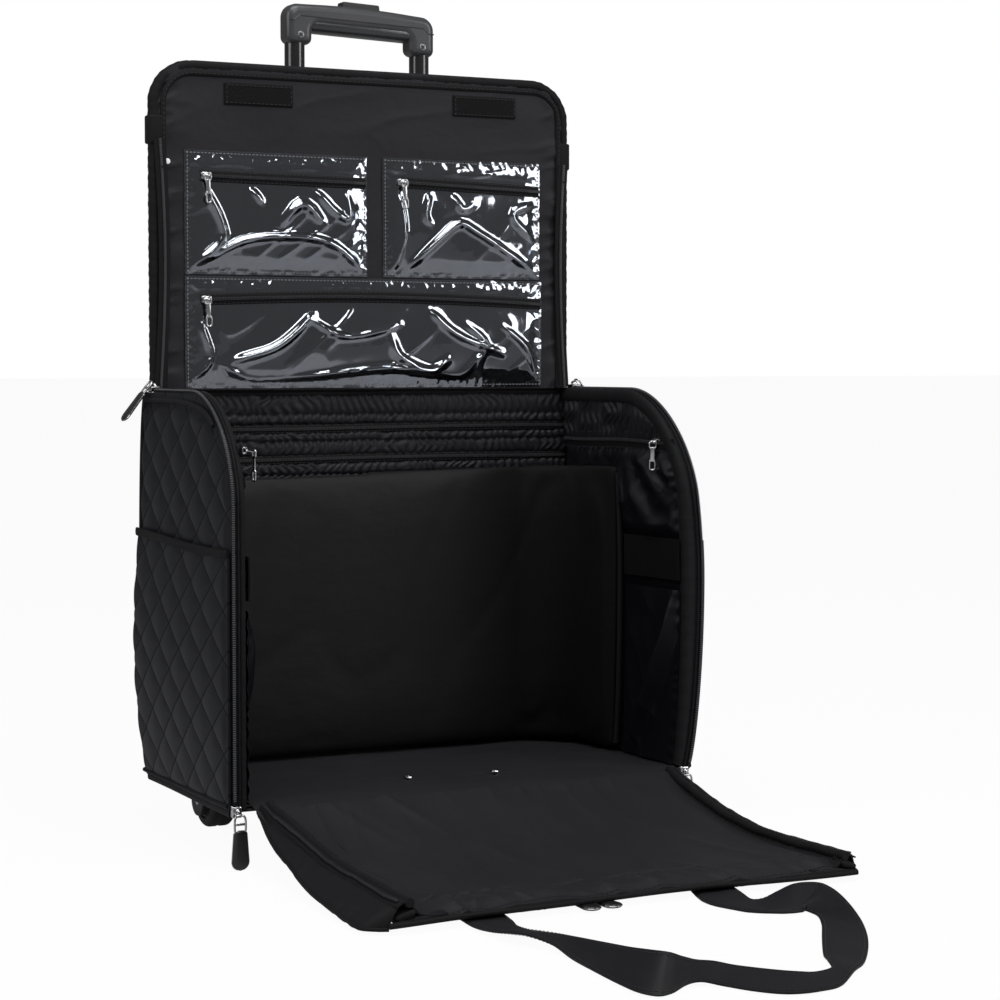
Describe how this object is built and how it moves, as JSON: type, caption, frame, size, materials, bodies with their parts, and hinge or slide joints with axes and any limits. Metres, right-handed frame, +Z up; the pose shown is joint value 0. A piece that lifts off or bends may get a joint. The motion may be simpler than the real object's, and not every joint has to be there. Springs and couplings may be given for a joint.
{
  "type": "rolling sewing bag",
  "caption": "Rolling bag for sewing gear: a quilted case on wheels with an open lid, a folded-down front, a padded liner and a telescoping handle.",
  "frame": {"origin": "on the floor, under the centre of the whole object's box as it stands open with its carry strap laid out", "axes": "+X across the bag to its right, +Y towards its back, +Z up; the front panel lies down towards -Y"},
  "size_m": [0.5018, 0.8198, 0.768],
  "materials": {
    "quilted_fabric": "quilted microfibre, soft sheen",
    "shell_fabric": "tight black polyester",
    "binding_fabric": "matt folded binding",
    "satin_lining": "shiny black satin",
    "lid_lining": "grey-black nylon with a soft sheen",
    "liner_fabric": "padded black nylon",
    "webbing": "stitched doubled webbing",
    "zip_coil": "nylon coil",
    "zip_tape": "woven tape",
    "hook_pile": "hook-and-loop pile",
    "clear_vinyl": "clear flexible vinyl",
    "nickel": "nickel plated",
    "tube_metal": "gloss black",
    "steel": "plain",
    "grip_plastic": "satin charcoal",
    "grip_rubber": "smooth",
    "moulded_plastic": "fine texture",
    "tyre_rubber": "matt",
    "board": "lined board"
  },
  "bodies": {
    "root": {"bottom_panel": "shell_fabric", "base_board": "board", "floor_rivets": "nickel", "back_panel": "shell_fabric", "ruched_bands": "satin_lining", "side_wall_left": "quilted_fabric", "side_wall_right": "quilted_fabric", "rims": "binding_fabric", "case_zip_chains": "zip_coil", "outer_pockets": "quilted_fabric", "pocket_bindings": "binding_fabric", "inner_zip_pockets": "satin_lining", "zip_tapes": "zip_tape", "elastic_straps": "webbing", "inner_slip_pockets": "satin_lining", "padded_liner": "liner_fabric", "outer_tubes": "tube_metal", "tube_bracket": "moulded_plastic", "handle_bezel": "moulded_plastic", "back_cover": "shell_fabric", "wheel_housings": "moulded_plastic", "wheel_axles": "steel", "front_feet": "moulded_plastic"},
    "lid": {"lid_panel": "lid_lining", "lower_clear_pocket": "clear_vinyl", "upper_pockets_rear": "clear_vinyl"},
    "lid_bend": {"bend_panel": "lid_lining", "upper_clear_pockets": "clear_vinyl"},
    "lid_end": {"lid_flap": "lid_lining", "hook_patches": "hook_pile"},
    "front": {"front_panel": "liner_fabric", "front_pocket": "quilted_fabric", "loop_patches": "hook_pile"},
    "strap": {"carry_strap": "webbing"},
    "pocket_pulls": {"front_zip_pulls": "nickel"},
    "handle_middle": {"middle_tubes": "tube_metal"},
    "handle": {"inner_tubes": "tube_metal", "grip_shell": "grip_plastic", "under_grip": "grip_rubber", "grip_screws": "steel", "button_spring": "steel"},
    "button": {"grip_button": "grip_plastic", "push_rods": "steel"},
    "wheel_left": {"tyre_left": "tyre_rubber", "hub_left": "moulded_plastic"},
    "wheel_right": {"tyre_right": "tyre_rubber", "hub_right": "moulded_plastic"},
    "top_slider_left": {"top_slider_left": "nickel"},
    "top_slider_right": {"top_slider_right": "nickel"},
    "front_slider_left": {"front_slider_left": "nickel"},
    "front_slider_right": {"front_slider_right": "nickel"},
    "top_pull_left": {"top_pull_left": "nickel"},
    "top_pull_right": {"top_pull_right": "nickel"},
    "front_pull_left": {"front_pull_left": "nickel"},
    "front_pull_right": {"front_pull_right": "nickel"},
    "side_slider_left": {"side_slider_left": "nickel"},
    "side_slider_right": {"side_slider_right": "nickel"},
    "pocket_slider_low": {"pocket_slider_low": "nickel"},
    "pocket_slider_left": {"pocket_slider_left": "nickel"},
    "pocket_slider_right": {"pocket_slider_right": "nickel"}
  },
  "joints": [
    {"name": "lid_hinge", "type": "hinge", "parent": "root", "child": "lid", "pos_m": [0, 0.3631, 0.4006], "axis": [1, 0, 0], "range_deg": [0, 90]},
    {"name": "lid_bend_fold", "type": "hinge", "parent": "lid", "child": "lid_bend", "pos_m": [0, 0.3631, 0.55496], "axis": [1, 0, 0], "range_deg": [0, 45]},
    {"name": "lid_end_fold", "type": "hinge", "parent": "lid_bend", "child": "lid_end", "pos_m": [0, 0.3631, 0.64977], "axis": [1, 0, 0], "range_deg": [0, 45]},
    {"name": "front_hinge", "type": "hinge", "parent": "root", "child": "front", "pos_m": [0, 0.1486, 0.0485], "axis": [-1, 0, 0], "range_deg": [0, 98.11]},
    {"name": "strap_swing", "type": "hinge", "parent": "front", "child": "strap", "pos_m": [0, -0.0559, 0.0096], "axis": [1, 0, 0], "range_deg": [0, 130]},
    {"name": "pocket_pulls_swing", "type": "hinge", "parent": "front", "child": "pocket_pulls", "pos_m": [0, -0.08998, 0.00945], "axis": [1, 0, 0], "range_deg": [0, 160]},
    {"name": "handle_middle_slide", "type": "slide", "parent": "root", "child": "handle_middle", "axis": [0, 0, 1], "range_m": [0, 0.29]},
    {"name": "handle_slide", "type": "slide", "parent": "handle_middle", "child": "handle", "axis": [0, 0, 1], "range_m": [-0.317, 0]},
    {"name": "button_press", "type": "slide", "parent": "handle", "child": "button", "axis": [0, 0, 1], "range_m": [-0.004, 0], "stiffness_N_per_m": 400, "springref_m": 0.004, "deforming": ["button_spring"]},
    {"name": "wheel_left_spin", "type": "hinge", "parent": "root", "child": "wheel_left", "pos_m": [-0.168, 0.3461, 0.025], "axis": [1, 0, 0], "continuous": true},
    {"name": "wheel_right_spin", "type": "hinge", "parent": "root", "child": "wheel_right", "pos_m": [0.168, 0.3461, 0.025], "axis": [1, 0, 0], "continuous": true},
    {"name": "top_slider_left_run", "type": "slide", "parent": "root", "child": "top_slider_left", "axis": [0, -1, 0], "range_m": [0, 0.098]},
    {"name": "top_pull_left_swing", "type": "hinge", "parent": "top_slider_left", "child": "top_pull_left", "pos_m": [-0.2204, 0.3611, 0.4089], "axis": [0, 1, 0], "range_deg": [0, 110]},
    {"name": "front_slider_left_run", "type": "slide", "parent": "root", "child": "front_slider_left", "axis": [0, 0, 1], "range_m": [0, 0.235]},
    {"name": "front_pull_left_swing", "type": "hinge", "parent": "front_slider_left", "child": "front_pull_left", "pos_m": [-0.2185, 0.1454, 0.0512], "axis": [-1, 0, 0], "range_deg": [0, 100]},
    {"name": "side_slider_left_run", "type": "slide", "parent": "root", "child": "side_slider_left", "axis": [0, 1, 0], "range_m": [0, 0.14]},
    {"name": "top_slider_right_run", "type": "slide", "parent": "root", "child": "top_slider_right", "axis": [0, -1, 0], "range_m": [0, 0.098]},
    {"name": "top_pull_right_swing", "type": "hinge", "parent": "top_slider_right", "child": "top_pull_right", "pos_m": [0.2204, 0.3611, 0.4089], "axis": [0, -1, 0], "range_deg": [0, 110]},
    {"name": "front_slider_right_run", "type": "slide", "parent": "root", "child": "front_slider_right", "axis": [0, 0, 1], "range_m": [0, 0.235]},
    {"name": "front_pull_right_swing", "type": "hinge", "parent": "front_slider_right", "child": "front_pull_right", "pos_m": [0.2185, 0.1454, 0.0512], "axis": [-1, 0, 0], "range_deg": [0, 100]},
    {"name": "side_slider_right_run", "type": "slide", "parent": "root", "child": "side_slider_right", "axis": [0, 1, 0], "range_m": [0, 0.14]},
    {"name": "low_pocket_slider_run", "type": "slide", "parent": "lid", "child": "pocket_slider_low", "axis": [1, 0, 0], "range_m": [0, 0.335]},
    {"name": "left_pocket_slider_run", "type": "slide", "parent": "lid_bend", "child": "pocket_slider_left", "axis": [1, 0, 0], "range_m": [0, 0.155]},
    {"name": "right_pocket_slider_run", "type": "slide", "parent": "lid_bend", "child": "pocket_slider_right", "axis": [1, 0, 0], "range_m": [0, 0.14]}
  ],
  "couplings": [
    {"joint": "lid_bend_fold", "follows": "lid_hinge", "ratio": 0.5},
    {"joint": "lid_end_fold", "follows": "lid_hinge", "ratio": 0.5}
  ]
}
